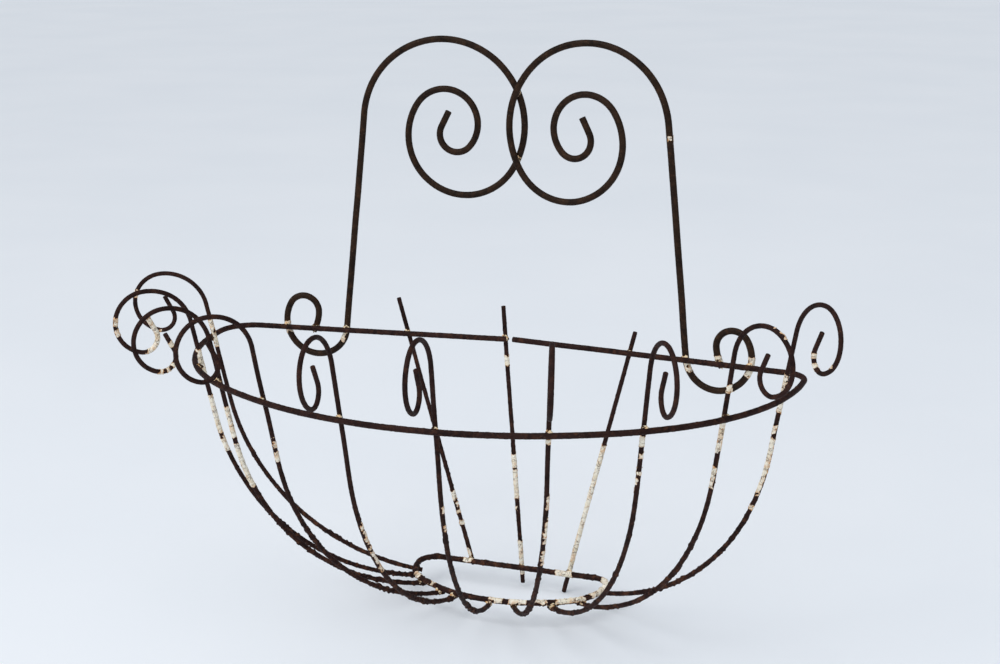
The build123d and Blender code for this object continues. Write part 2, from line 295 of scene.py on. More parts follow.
rim_path = d_path(rim_d[-1], rim_d[1], RIM_Y, RIM_Z, RIM_LEFT_END, RIM_END_GAP - RIM_LEFT_END)
wires["rim_wire"] = (rim_path, FRAME_R, False)
wires["base_ring"] = (d_path(base_d, base_d, RIM_Y, BASE_Z, 0, 0), FRAME_R, True)
for name, row in STAYS.items():
    wires[name] = (stay_path(*row), RIB_R, False)
RIBS = [f"rib_{k:02d}" for k in range(1, 11)]
for name, *row in zip(RIBS, RIM_BEARING, BASE_BEARING, RIB_RISE, RIB_TWIST):
    wires[name] = (rib_path(*row), RIB_R, False)
for name, side in (("back_scroll_left", -1), ("back_scroll_right", 1)):
    wires[name] = (scroll_path(side), SCROLL_R, False)

# ---------------------------------------------------------------- noise, the same on every run


def lattice(ix, iy, iz, seed):
    """A value from -1 to 1 for each lattice point: an integer hash."""
    h = (ix * 374761393 + iy * 668265263 + iz * 2147483647 + seed * 974634777) & 0xFFFFFFFF
    h = ((h ^ (h >> 13)) * 1274126177) & 0xFFFFFFFF
    h = ((h ^ (h >> 16)) * 2246822519) & 0xFFFFFFFF
    return ((h ^ (h >> 15)) & 0xFFFFFF) / float(0xFFFFFF) * 2 - 1


def noise(p, size, seed=0):
    """Smooth value noise from -1 to 1 with features of the given size in mm."""
    q = p / size + 100.37 + seed * 7.13  # shifted, so that the seeds differ
    i = np.floor(q).astype(np.int64)
    f = q - i
    f = f * f * f * (f * (f * 6 - 15) + 10)
    total = 0.0
    for dx in (0, 1):
        wx = f[..., 0] if dx else 1 - f[..., 0]
        for dy in (0, 1):
            wy = f[..., 1] if dy else 1 - f[..., 1]
            for dz in (0, 1):
                wz = f[..., 2] if dz else 1 - f[..., 2]
                cell = lattice(i[..., 0] + dx, i[..., 1] + dy, i[..., 2] + dz, seed)
                total = total + cell * wx * wy * wz
    return total


def fbm(p, size, octaves=3, seed=0):
    """Noise with finer and weaker layers over it."""
    total, amp = 0.0, 1.0
    for k in range(octaves):
        total = total + noise(p, size / 2**k, seed + k) * amp
        amp *= 0.55
    return total


def smooth(x, low, high):
    """0 below low, 1 above high, and a soft step between."""
    u = np.clip((x - low) / (high - low), 0, 1)
    return u * u * (3 - 2 * u)


# ---------------------------------------------------------------- mesh helpers
BOX_MARGIN = 0.01  # how far the meshes stay inside the CAD box
WANDER = 0.22  # how far a wire strays from its axis, over WANDER_SIZE
WANDER_SIZE = 38.0


def place(name, data):
    """A new object with this data, linked into the scene."""
    obj = bpy.data.objects.new(name, data)
    bpy.context.scene.collection.objects.link(obj)
    return obj


def make_object(name, verts, faces, attributes):
    """A mesh object from mm coordinates, kept inside the CAD box, with float attributes."""
    verts = np.clip(verts, CAD_LO + BOX_MARGIN, CAD_HI - BOX_MARGIN)
    mesh = bpy.data.meshes.new(name)
    faces = np.asarray(faces, np.int32)
    mesh.vertices.add(len(verts))
    mesh.vertices.foreach_set("co", (verts / 1000).astype(np.float32).ravel())
    mesh.loops.add(faces.size)
    mesh.loops.foreach_set("vertex_index", faces.ravel())
    mesh.polygons.add(len(faces))
    starts = np.arange(len(faces), dtype=np.int32) * faces.shape[1]
    mesh.polygons.foreach_set("loop_start", starts)
    mesh.polygons.foreach_set("use_smooth", np.ones(len(faces), bool))
    mesh.update(calc_edges=True)
    mesh.validate()
    for key, values in attributes.items():
        layer = mesh.attributes.new(key, "FLOAT", "POINT")
        layer.data.foreach_set("value", np.asarray(values, np.float32))
    return place(name, mesh)


def wire_frames(pos, tangent):
    """Normals carried along the wire without twist."""
    ref = UP if abs(tangent[0] @ UP) < 0.9 else vec(1, 0, 0)
    n = unit(np.cross(tangent[0], ref))
    normals = np.empty_like(pos)
    for k in range(len(pos)):
        n = unit(n - tangent[k] * (n @ tangent[k]))
        normals[k] = n
    return normals, np.cross(tangent, normals)


def tube_rings(pos, tangent, around):
    """Unit spokes round the wire at each point of its axis, and the points strayed a little."""
    n1, n2 = wire_frames(pos, tangent)
    a = np.linspace(0, 2 * math.pi, around, endpoint=False)
    ring = np.cos(a)[None, :, None] * n1[:, None] + np.sin(a)[None, :, None] * n2[:, None]
    wander = np.stack([noise(pos, WANDER_SIZE, 70 + k) for k in range(3)], 1)
    wander -= tangent * np.sum(wander * tangent, axis=1, keepdims=True)
    return ring, pos + wander * WANDER


def tube_quads(rows, cols, closed=False):
    """The grid of vertex numbers of a tube, and the quads between its rings."""
    grid = np.arange(rows * cols).reshape(rows, cols)
    nxt = np.roll(grid, -1, axis=1)
    if closed:
        after, after_nxt = np.roll(grid, -1, axis=0), np.roll(nxt, -1, axis=0)
        return grid, np.stack([grid, nxt, after_nxt, after], -1)
    return grid, np.stack([grid[:-1], nxt[:-1], nxt[1:], grid[1:]], -1)


# ---------------------------------------------------------------- rusted wires
WIRE_PITCH, WIRE_SIDES = 0.62, 20
# the sheared end of a wire: share of the ring's width, and how far it stands out
END_RINGS = ((0.90, 0.16), (0.5, 0.24), (0.02, 0.26))
EATEN_FROM, EATEN_TO = 250, 430  # mm below the origin where the rust gets deep
# how far a wire is eaten high up, and what is added low down
EATEN = {
    "back_scroll": (0.10, 0.0),
    "rim_wire": (0.28, 0.0),
    "base_ring": (1.0, 0.0),
    "back_stay": (0.30, 0.40),
    "rib": (0.14, 0.95),
}


def rust_level(name, p):
    """How far the wire is eaten: smooth high up, lumpy low down."""
    low = smooth(-p[..., 2], EATEN_FROM, EATEN_TO)
    high_up, added = next(row for kind, row in EATEN.items() if name.startswith(kind))
    return high_up + added * low


def wire_radius(p, r, level):
    """Radius with mill scale, pits and rust nodules, p on the plain wire."""
    # each noise has the size of its features in mm, and each factor is a height in mm
    fine = fbm(p, 1.4, 2, 11) * (0.03 + 0.14 * level)
    broad = 0.16 * level + noise(p, 7.0, 5) * 0.14 * level + noise(p, 19.0, 6) * 0.08 * level
    crowd = 0.30 + 0.95 * smooth(noise(p, 26.0, 22), -0.25, 0.5)
    lumps = smooth(noise(p, 2.4, 21), 0.10, 0.85) * 0.78 * crowd * level**1.3
    warts = smooth(noise(p, 1.7, 31), 0.55, 0.9) * 0.30 * level
    pits = smooth(noise(p, 2.1, 41), 0.45, 0.95) * -0.28 * level
    return r * (1 - 0.02 * level) + fine + broad + lumps + warts + pits


def close_end(verts, level, faces, edge, outward, r):
    """The tube with its last ring, edge, closed by a small rim and a slightly domed face."""
    centre = verts[edge].mean(0)
    inner = edge
    for scale, push in END_RINGS:
        ids = np.arange(len(verts), len(verts) + len(edge))
        ring = centre + (verts[edge] - centre) * scale
        verts = np.vstack([verts, ring + outward * push * r / 2])
        level = np.concatenate([level, level[edge]])
        quad = np.stack([inner, np.roll(inner, -1), np.roll(ids, -1), ids], -1)
        faces = np.vstack([faces, quad])
        inner = ids
    return verts, level, faces


def build_wire(name):
    """A whole wire as a dense tube on the axis of its CAD wire."""
    path, r, closed = wires[name]
    pos, tangent, _ = path.sample(WIRE_PITCH)
    if closed:
        pos, tangent = pos[:-1], tangent[:-1]
    ring, strayed = tube_rings(pos, tangent, WIRE_SIDES)
    base = pos[:, None] + ring * r
    level = rust_level(name, base)
    radius = wire_radius(base, r, level)
    verts = (strayed[:, None] + ring * radius[..., None]).reshape(-1, 3)
    level = level.reshape(-1)
    grid, faces = tube_quads(len(pos), WIRE_SIDES, closed)
    faces = faces.reshape(-1, 4)
    if not closed:
        # the first ring is walked the other way round, so that its face looks out
        for row, out in ((0, -1), (-1, 1)):
            edge = grid[row][::out]
            verts, level, faces = close_end(verts, level, faces, edge, tangent[row] * out, r)
    return make_object("wire_" + name, verts, faces, {"rust": level})


# ---------------------------------------------------------------- remnants of paint
# (wire, from, to along the wire in mm, side that keeps its paint or None for all round,
#  how wide that side is as a cosine, wear from 0 sound to 1 mostly gone)
RIGHT, LEFT, FRONT = vec(0.94, -0.34, 0), vec(-0.94, -0.34, 0), vec(0.34, -0.94, 0)
PATCHES = (
    ("rib_01", 315, 342, RIGHT, -0.3, 0.45),
    ("rib_01", 438, 446, None, 0, 0.35),
    ("rib_01", 486, 489, None, 0, 0.5),
    ("rib_02", 245, 262, None, 0, 0.35),
    ("rib_02", 265, 302, None, 0, 0.25),
    ("rib_02", 322, 346, RIGHT, -0.4, 0.35),
    ("rib_02", 508, 545, None, 0, 0.2),
    ("rib_02", 461, 467, RIGHT, 0.35, 0.3),
    ("rib_02", 471, 478, RIGHT, 0.35, 0.35),
    ("rib_03", 224, 268, None, 0, 0.30),
    ("rib_03", 274, 304, None, 0, 0.2),
    ("rib_03", 530, 534, None, 0, 0.2),
    ("rib_03", 519, 526, RIGHT, -0.3, 0.3),
    ("rib_03", 511, 514, None, 0, 0.35),
    ("rib_03", 498, 502, None, 0, 0.2),
    ("rib_03", 504.5, 508, None, 0, 0.2),
    ("rib_04", 268, 278, RIGHT, 0.1, 0.2),
    ("rib_04", 281, 291, RIGHT, 0.3, 0.4),
    ("rib_05", 160, 190, RIGHT, 0.70, 0.10),
    ("rib_05", 193, 226, RIGHT, 0.80, 0.10),
    ("rib_06", 232, 239, RIGHT, 0.68, 0.2),
    ("rib_06", 249, 255, RIGHT, 0.68, 0.2),
    ("back_stay_left", 195, 205, None, 0, 0.1),
    ("back_stay_left", 207, 219, RIGHT, -0.2, 0.35),
    ("back_stay_left", 226, 233, RIGHT, 0, 0.3),
    ("back_stay_left", 255, 266, LEFT, -0.2, 0.35),
    ("back_stay_centre", 47, 57, None, 0, 0.15),
    ("back_stay_centre", 143, 157, None, 0, 0.25),
    ("back_stay_centre", 159, 188, None, 0, 0.08),
    ("back_stay_centre", 196, 200, LEFT, 0.2, 0.3),
    ("back_stay_centre", 231, 257, None, 0, 0.15),
    ("back_stay_centre", 260, 266, RIGHT, -0.3, 0.3),
    ("back_stay_right", 115, 254, None, 0, 0.04),
    ("rib_07", 198, 215, RIGHT, 0.45, 0.3),
    ("rib_07", 224, 250, RIGHT, 0.5, 0.35),
    ("rib_07", 258, 272, RIGHT, 0.6, 0.4),
    ("rib_07", 319, 323, None, 0, 0.3),
    ("rib_08", 312, 322, None, 0, 0.15),
    ("rib_08", 302, 306, RIGHT, 0.0, 0.2),
    ("rib_08", 287, 293, None, 0, 0.55),
    ("rib_08", 268, 284, LEFT, 0.35, 0.3),
    ("rib_09", 349, 356, RIGHT, -0.4, 0.2),
    ("rib_09", 294, 325, RIGHT, -0.75, 0.36),
    ("rib_09", 262, 282, LEFT, -0.5, 0.35),
    ("rib_09", 434, 452, RIGHT, 0.3, 0.5),
    ("rib_10", 329, 344, LEFT, -0.4, 0.2),
    ("rib_10", 309, 320, None, 0, 0.2),
    ("rib_10", 289, 297, LEFT, -0.2, 0.4),
    ("rib_10", 229, 262, LEFT, -0.45, 0.25),
    ("rib_10", 258, 285, LEFT, -0.8, 0.16),
    ("rib_10", 214, 219, None, 0, 0.3),
    ("rib_10", 530, 535, None, 0, 0.2),
    ("rib_10", 521, 526, None, 0, 0.3),
    ("rib_10", 493, 497, UP, 0.3, 0.3),
    ("back_scroll_right", 3, 11, None, 0, 0.2),
    ("back_scroll_right", 74, 91, RIGHT, -0.4, 0.2),
    ("back_scroll_right", 110, 114, None, 0, 0.3),
    ("back_scroll_right", 155, 166, RIGHT, -0.2, 0.35),
    ("back_scroll_right", 361, 365, RIGHT, 0.1, 0.3),
    ("back_scroll_left", 78, 91, RIGHT, -0.2, 0.4),
    ("back_scroll_left", 2, 6, None, 0, 0.3),
    ("back_scroll_left", 156, 170, LEFT, -0.1, 0.4),
    ("base_ring", 229, 242, UP, -0.35, 0.25),
    ("base_ring", 247, 263, UP, -0.15, 0.25),
    ("base_ring", 271, 282, UP, -0.35, 0.2),
    ("base_ring", 290, 318, UP, -0.2, 0.22),
    ("base_ring", 323, 367, UP, -0.4, 0.15),
    ("base_ring", 398, 416, FRONT, -0.8, 0.15),
    ("base_ring", 134, 146, UP, 0.1, 0.4),
    ("base_ring", 160, 168, UP, 0.1, 0.4),
    ("base_ring", 44, 54, UP, 0.0, 0.4),
)


PAINT_PITCH, PAINT_SIDES = 0.3, 46
PAINT_MARGIN = 3  # mm of wire looked at beyond both ends of a patch
PAINT_SKIN = 0.30  # from the outer skin to the inner one
PAINT_LEAST = 0.05  # the coat never sinks closer than this to the plain wire


def paint_field(index, base, s, ring, r, start, stop, side, spread, wear):
    """Positive where the patch still has paint, and about the distance in mm to its edge."""
    edge = np.minimum(s - start, stop - s)[:, None]
    if side is not None:
        edge = np.minimum(edge, (ring @ unit(side) - spread) * r * 1.4)
    tears = smooth(noise(base, 3.4, 300 + index), 0.75 - wear * 1.2, 1.05 - wear)
    return edge + fbm(base, 2.6, 3, 200 + index) * 1.35 - tears * 3.6


def paint_shell(index, name, start, stop, side, spread, wear):
    """A cracked coat of paint over part of a wire, with ragged edges and its own thickness."""
    path, r, _ = wires[name]
    pos, tangent, s = path.sample(PAINT_PITCH)
    keep = (s > start - PAINT_MARGIN) & (s < stop + PAINT_MARGIN)
    pos, tangent, s = pos[keep], tangent[keep], s[keep]
    ring, strayed = tube_rings(pos, tangent, PAINT_SIDES)
    base = pos[:, None] + ring * r
    field = paint_field(index, base, s, ring, r, start, stop, side, spread, wear)
    body = wire_radius(base, r, rust_level(name, base))
    curl = 0.10 + 0.28 * smooth(noise(base, 5.0, 77), 0.1, 0.8)
    lift = smooth(1.3 - field, 0, 1.3) * curl
    thick = 0.20 + 0.10 * noise(base, 2.6, 400) + 0.05 * noise(base, 0.9, 401)
    outer = np.maximum(body, r + PAINT_LEAST) + thick + lift
    inner = outer - PAINT_SKIN
    outside = strayed[:, None] + ring * outer[..., None]
    inside = strayed[:, None] + ring * inner[..., None]
    rows, cols = field.shape
    _, quads = tube_quads(rows, cols)
    beside = np.roll(field, -1, axis=1)
    painted = (field[:-1] + field[1:] + beside[:-1] + beside[1:]) / 4 > 0
    quads = quads[painted]
    if not len(quads):
        return None
    # walls close each ragged edge between the outer and inner skins
    total = rows * cols
    edges = np.concatenate([quads[:, [k, (k + 1) % 4]] for k in range(4)])
    key = edges[:, 0] * total + edges[:, 1]
    back = edges[:, 1] * total + edges[:, 0]
    rim = edges[~np.isin(key, back)]
    walls = np.stack([rim[:, 1], rim[:, 0], rim[:, 0] + total, rim[:, 1] + total], -1)
    faces = np.vstack([quads, quads[:, ::-1] + total, walls])
    verts = np.vstack([outside.reshape(-1, 3), inside.reshape(-1, 3)])
    border = np.tile(field.reshape(-1), 2)
    along = np.tile(np.repeat(s, cols), 2)
    # only the vertices of the patch are kept
    used = np.unique(faces)
    renumber = np.zeros(len(verts), np.int64)
    renumber[used] = np.arange(len(used))
    return verts[used], renumber[faces], border[used], along[used]


def build_paint(node):
    """All patches of one wire as one object, or None where no paint is left."""
    verts, faces, border, along, count = [], [], [], [], 0
    for index, row in enumerate(PATCHES):
        made = paint_shell(index, *row) if row[0] == node else None
        if made is None:
            continue
        verts.append(made[0])
        faces.append(made[1] + count)
        border.append(made[2])
        along.append(made[3])
        count += len(made[0])
    if not verts:
        return None
    data = {"border": np.concatenate(border), "along": np.concatenate(along)}
    return make_object("paint_" + node, np.vstack(verts), np.vstack(faces), data)


# ---------------------------------------------------------------- weld nuggets
CROSSING_LIMIT = 7.2  # two axes this close to each other cross
CROSSING_APART = 14  # mm along the wire between one crossing and the next
NUGGET_REACH = 2.4  # how far a nugget spreads beyond the thicker wire
NUGGET_BLEND = 2.3  # how wide the two wires melt into each other


def icosphere(levels):
    """Directions spread evenly over a ball, and the triangles between them."""
    g = (1 + math.sqrt(5)) / 2
    v = [(-1, g, 0), (1, g, 0), (-1, -g, 0), (1, -g, 0), (0, -1, g), (0, 1, g)]
    v += [(0, -1, -g), (0, 1, -g), (g, 0, -1), (g, 0, 1), (-g, 0, -1), (-g, 0, 1)]
    f = [(0, 11, 5), (0, 5, 1), (0, 1, 7), (0, 7, 10), (0, 10, 11), (1, 5, 9), (5, 11, 4)]
    f += [(11, 10, 2), (10, 7, 6), (7, 1, 8), (3, 9, 4), (3, 4, 2), (3, 2, 6), (3, 6, 8)]
    f += [(3, 8, 9), (4, 9, 5), (2, 4, 11), (6, 2, 10), (8, 6, 7), (9, 8, 1)]
    v = [unit(vec(*p)) for p in v]
    for _ in range(levels):
        cache, out = {}, []

        def mid(i, j):
            k = (min(i, j), max(i, j))
            if k not in cache:
                cache[k] = len(v)
                v.append(unit(v[i] + v[j]))
            return cache[k]

        for a, b, c in f:
            d, e, h = mid(a, b), mid(b, c), mid(c, a)
            out += [(a, d, h), (b, e, d), (c, h, e), (d, e, h)]
        f = out
    return np.array(v), np.array(f)


BALL_V, BALL_F = icosphere(4)


def local_axis(node):
    """Points, directions and radius of a wire's axis."""
    path, r, _ = wires[node]
    pos, tangent, _ = path.sample(path.pitch)
    return pos, tangent, r


AXES = {n: local_axis(n) for n in wires}


def crossings(a, b):
    """Places where wires a and b cross, the closest first."""
    pa, ta, ra = AXES[a]
    pb, tb, rb = AXES[b]
    found = []
    for i in range(0, len(pa), 2):
        d = np.linalg.norm(pb - pa[i], axis=1)
        j = int(d.argmin())
        if d[j] < CROSSING_LIMIT:
            found.append((d[j], i, j))
    found.sort()
    kept = []
    for d, i, j in found:
        if all(np.linalg.norm(pa[i] - pa[q[1]]) > CROSSING_APART for q in kept):
            kept.append((d, i, j))
    return [(pa[i], ta[i], ra, pb[j], tb[j], rb) for _, i, j in kept]


def nugget(cross, seed):
    """Fillet of melted metal where two wires cross: rays march out to a blended surface."""
    pa, ta, ra, pb, tb, rb = cross
    gap_dir = unit(pb - pa)
    centre = pa + gap_dir * (ra + GAP / 2)
    reach = max(ra, rb) + NUGGET_REACH
    dist = np.full(len(BALL_V), 0.02)
    offset = vec(seed * 3.1, seed * 1.7, seed * 2.3)

    def field(p):
        """Below 0 inside the nugget."""
        da = np.linalg.norm(np.cross(p - pa, ta), axis=1) - ra
        db = np.linalg.norm(np.cross(p - pb, tb), axis=1) - rb
        h = np.clip(0.5 + 0.5 * (db - da) / NUGGET_BLEND, 0, 1)
        blend = db * (1 - h) + da * h - NUGGET_BLEND * h * (1 - h)
        bump = 0.62 + fbm(p + offset, 2.4, 3, 500) * 0.85
        fall = smooth(np.linalg.norm(p - centre, axis=1), reach * 0.55, reach * 1.25)
        return blend - bump * (1 - fall) + fall * 2.6

    # coarse steps out to the surface, then fine ones back and forth
    for _ in range(60):
        value = field(centre + BALL_V * dist[:, None])
        dist = dist + np.where(value < 0, 0.13, 0.0)
    for _ in range(6):
        value = field(centre + BALL_V * dist[:, None])
        dist = dist + np.clip(-value, -0.1, 0.1) * 0.5
    return centre + BALL_V * dist[:, None], smooth(dist, 1.0, reach)


def build_welds(node, pairs):
    """The nuggets of one weld node; a pair is two wires and the most crossings they have."""
    verts, faces, rust, count = [], [], [], 0
    for number, (a, b, most) in enumerate(pairs):
        for k, cross in enumerate(crossings(a, b)[:most]):
            points, level = nugget(cross, number * 5 + k + len(node))
            verts.append(points)
            faces.append(BALL_F + count)
            rust.append(level)
            count += len(points)
    data = {"rust": np.concatenate(rust)}
    obj = make_object("nuggets_" + node, np.vstack(verts), np.vstack(faces), data)
    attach(obj, "root")
    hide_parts(node)
    return obj


# ---------------------------------------------------------------- materials


class Nodes:
    """A new material and short ways to add nodes to it; sizes are in mm."""

    def __init__(self, name):
        self.material = bpy.data.materials.new(name)
        self.material.use_nodes = True
        self.tree = self.material.node_tree
        self.bsdf = self.tree.nodes["Principled BSDF"]
        self.coords = self.tree.nodes.new("ShaderNodeTexCoord").outputs["Object"]

    def link(self, source, target):
        self.tree.links.new(source, target)

    def noise(self, size_mm, detail=4.0, rough=0.55, distortion=0.0):
        n = self.tree.nodes.new("ShaderNodeTexNoise")
        n.inputs["Scale"].default_value = 1000.0 / size_mm
        n.inputs["Detail"].default_value = detail
        n.inputs["Roughness"].default_value = rough
        n.inputs["Distortion"].default_value = distortion
        self.link(self.coords, n.inputs["Vector"])
        return n.outputs["Fac"]

    def warped(self, scale, reach):
        """The coordinates pushed about by noise, reach in metres."""
        wobble = self.tree.nodes.new("ShaderNodeTexNoise")
        wobble.inputs["Scale"].default_value = scale
        self.link(self.coords, wobble.inputs["Vector"])
        n = self.tree.nodes.new("ShaderNodeVectorMath")
        n.operation = "MULTIPLY_ADD"
        self.link(wobble.outputs["Color"], n.inputs[0])
        n.inputs[1].default_value = (reach, reach, reach)
        self.link(self.coords, n.inputs[2])
        return n.outputs[0]

    def cell_edges(self, source, scale, dimensions="3D"):
        """Distance to the edge of a Voronoi cell, in space or along one value."""
        n = self.tree.nodes.new("ShaderNodeTexVoronoi")
        n.voronoi_dimensions = dimensions
        n.feature = "DISTANCE_TO_EDGE"
        n.inputs["Scale"].default_value = scale
        self.link(source, n.inputs["W" if dimensions == "1D" else "Vector"])
        return n.outputs["Distance"]

    def attribute(self, name):
        n = self.tree.nodes.new("ShaderNodeAttribute")
        n.attribute_name = name
        return n.outputs["Fac"]

    def ramp(self, value, *stops):
        """A value turned into a grey or a colour by stops of (position, grey or colour)."""
        n = self.tree.nodes.new("ShaderNodeValToRGB")
        while len(n.color_ramp.elements) < len(stops):
            n.color_ramp.elements.new(0.5)
        for element, (position, colour) in zip(n.color_ramp.elements, stops):
            element.position = position
            element.color = (*colour, 1) if hasattr(colour, "__len__") else (colour,) * 3 + (1,)
        self.link(value, n.inputs["Fac"])
        return n.outputs["Color"]

    def math(self, operation, a, b=None, c=None):
        n = self.tree.nodes.new("ShaderNodeMath")
        n.operation = operation
        for socket, value in zip(n.inputs, (a, b, c)):
            if value is None:
                continue
            if isinstance(value, (int, float)):
                socket.default_value = value
            else:
                self.link(value, socket)
        return n.outputs[0]

    def mix(self, fac, a, b):
        n = self.tree.nodes.new("ShaderNodeMix")
        n.data_type = "RGBA"
        for key, value in ((0, fac), (6, a), (7, b)):
            if isinstance(value, (int, float)):
                n.inputs[key].default_value = value
            elif isinstance(value, tuple):
                n.inputs[key].default_value = (*value, 1)
            else:
                self.link(value, n.inputs[key])
        return n.outputs[2]

    def cover(self, colour, mask, share, over):
        """The colour with another one laid over it where the mask is high."""
        return self.mix(self.math("MULTIPLY", mask, share), colour, over)

    def bump(self, height, distance_mm, strength=1.0, before=None):
        n = self.tree.nodes.new("ShaderNodeBump")
        n.inputs["Strength"].default_value = strength
        n.inputs["Distance"].default_value = distance_mm / 1000
        self.link(height, n.inputs["Height"])
        if before is not None:
            self.link(before, n.inputs["Normal"])
        return n.outputs["Normal"]


def rust_material(name, dark, mid, warm, dusty, rough, stain):
    """Old mild steel: dark oxide, warmer bloom, orange specks, dusty crests."""
    m = Nodes(name)
    level = m.attribute("rust")
    broad = m.ramp(m.noise(16, 3, 0.6, 0.4), (0.36, dark), (0.62, mid))
    mottle = m.ramp(m.noise(2.6, 6, 0.7), (0.40, 0.0), (0.68, 1.0))
    colour = m.cover(broad, mottle, 0.75, mid)
    bloom = m.ramp(m.noise(5.5, 5, 0.65, 0.6), (0.50, 0.0), (0.74, 1.0))
    colour = m.cover(colour, bloom, m.math("MULTIPLY_ADD", level, 0.5, 0.22), warm)
    specks = m.ramp(m.noise(1.1, 3, 0.6), (0.66, 0.0), (0.74, 1.0))
    colour = m.cover(colour, specks, 0.55, dusty)
    hot = m.ramp(m.noise(3.4, 4, 0.7, 0.3), (0.70, 0.0), (0.80, 1.0))
    orange = m.math("MULTIPLY_ADD", level, stain, stain * 0.4)
    colour = m.cover(colour, hot, orange, (0.42, 0.17, 0.045))
    pores = m.ramp(m.noise(0.9, 4, 0.7), (0.30, 1.0), (0.44, 0.0))
    colour = m.cover(colour, pores, 0.6, (0.006, 0.004, 0.003))
    m.link(colour, m.bsdf.inputs["Base Color"])
    gloss = m.ramp(m.noise(1.8, 5, 0.65), (0.3, rough - 0.13), (0.7, min(1.0, rough + 0.14)))
    m.link(gloss, m.bsdf.inputs["Roughness"])
    m.bsdf.inputs["Specular IOR Level"].default_value = 0.10
    grain = m.bump(m.noise(0.55, 5, 0.7), 0.10, 0.55)
    scale = m.bump(m.noise(2.0, 5, 0.65), 0.26, 0.7, grain)
    m.link(scale, m.bsdf.inputs["Normal"])
    return m


def paint_cracks(m):
    """1 in a crack of the coat: rings round the wire, and small cells in places."""
    # the rings are bent by noise, so that no two are alike
    along = m.math("MULTIPLY", m.attribute("along"), 0.16)
    bent = m.math("ADD", along, m.math("MULTIPLY", m.noise(5.0, 3, 0.6), 1.9))
    rings = m.ramp(m.cell_edges(bent, 1.0, "1D"), (0.030, 1.0), (0.065, 0.0))
    cells = m.ramp(m.cell_edges(m.warped(260.0, 0.004), 190.0), (0.03, 1.0), (0.08, 0.0))
    places = m.ramp(m.noise(7.0, 2, 0.5), (0.44, 0.0), (0.60, 1.0))
    return m.math("MAXIMUM", rings, m.math("MULTIPLY", cells, places))


def paint_material(name):
    """Old cream oil paint: cracked in rings round the wire, stained by the rust under it."""
    m = Nodes(name)
    cream = m.ramp(m.noise(6.0, 4, 0.6), (0.32, (0.80, 0.70, 0.52)), (0.62, (0.95, 0.90, 0.78)))
    grime = m.ramp(m.noise(2.2, 6, 0.7), (0.44, 0.0), (0.72, 1.0))
    colour = m.cover(cream, grime, 0.30, (0.42, 0.33, 0.22))
    stain = m.ramp(m.noise(6.5, 5, 0.65, 0.8), (0.50, 0.0), (0.66, 1.0))
    colour = m.cover(colour, stain, 0.62, (0.66, 0.34, 0.12))
    crack = paint_cracks(m)
    gone = m.ramp(m.noise(9.0, 3, 0.6), (0.40, 0.35), (0.62, 1.0))
    colour = m.cover(colour, crack, m.math("MULTIPLY", gone, 0.92), (0.10, 0.045, 0.02))
    rim = m.ramp(m.attribute("border"), (0.25, 1.0), (1.7, 0.0))
    ragged = m.ramp(m.noise(2.4, 4, 0.6), (0.38, 0.15), (0.60, 1.0))
    colour = m.cover(colour, rim, m.math("MULTIPLY", ragged, 0.90), (0.60, 0.26, 0.065))
    m.link(colour, m.bsdf.inputs["Base Color"])
    gloss = m.ramp(m.noise(1.5, 4, 0.6), (0.3, 0.52), (0.7, 0.78))
    m.link(gloss, m.bsdf.inputs["Roughness"])
    m.bsdf.inputs["Specular IOR Level"].default_value = 0.40
    fine = m.bump(m.noise(0.8, 4, 0.6), 0.06, 0.5)
    depth = m.bump(m.math("SUBTRACT", 1.0, crack), 0.22, 0.9, fine)
    m.link(depth, m.bsdf.inputs["Normal"])
    return m


def weld_material(name, **rust):
    """Rusty nugget with crumbs of cream paint left in its crevices."""
    m = rust_material(name, **rust)
    base = m.bsdf.inputs["Base Color"].links[0].from_socket
    crumbs = m.ramp(m.noise(3.6, 3, 0.55, 0.5), (0.485, 0.0), (0.525, 1.0))
    tint = m.ramp(m.noise(2.4, 4, 0.6), (0.36, (0.72, 0.36, 0.12)), (0.56, (0.86, 0.74, 0.52)))
    m.link(m.cover(base, crumbs, 0.92, tint), m.bsdf.inputs["Base Color"])
    return m


scroll_rust = rust_material(
    "rust_scroll",
    dark=(0.006, 0.003, 0.002),
    mid=(0.026, 0.013, 0.007),
    warm=(0.13, 0.056, 0.024),
    dusty=(0.26, 0.17, 0.11),
    rough=0.56,
    stain=0.45,
)
wire_rust = rust_material(
    "rust_wire",
    dark=(0.006, 0.002, 0.002),
    mid=(0.027, 0.011, 0.009),
    warm=(0.15, 0.057, 0.026),
    dusty=(0.26, 0.16, 0.10),
    rough=0.66,
    stain=0.65,
)
weld_rust = weld_material(
    "rust_weld",
    dark=(0.012, 0.006, 0.004),
    mid=(0.050, 0.024, 0.012),
    warm=(0.15, 0.062, 0.022),
    dusty=(0.20, 0.12, 0.07),
    rough=0.80,
    stain=0.9,
)
cream_paint = paint_material("cream_paint")

# ---------------------------------------------------------------- the basket
for node in wires:
    wire = build_wire(node)
    is_scroll = node.startswith("back_scroll")
    wire.data.materials.append((scroll_rust if is_scroll else wire_rust).material)
    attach(wire, "root")
    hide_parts(node)
    coat = build_paint(node)
    if coat is not None:
        coat.data.materials.append(cream_paint.material)
        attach(coat, "root")

weld_rows = {
    "welds_rim_ribs": [("rim_wire", n, 1) for n in RIBS],
    "welds_base_ribs": [("base_ring", n, 1) for n in RIBS],
    "welds_rim_stays": [("rim_wire", n, 1) for n in STAYS],
    "welds_base_stays": [("base_ring", n, 1) for n in STAYS],
    "welds_scroll_left": [("rim_wire", "back_scroll_left", 3)],
    "welds_scroll_right": [("rim_wire", "back_scroll_right", 3)],
    "welds_scroll_crossings": [("back_scroll_left", "back_scroll_right", 2)],
}
for node, pairs in weld_rows.items():
    build_welds(node, pairs).data.materials.append(weld_rust.material)
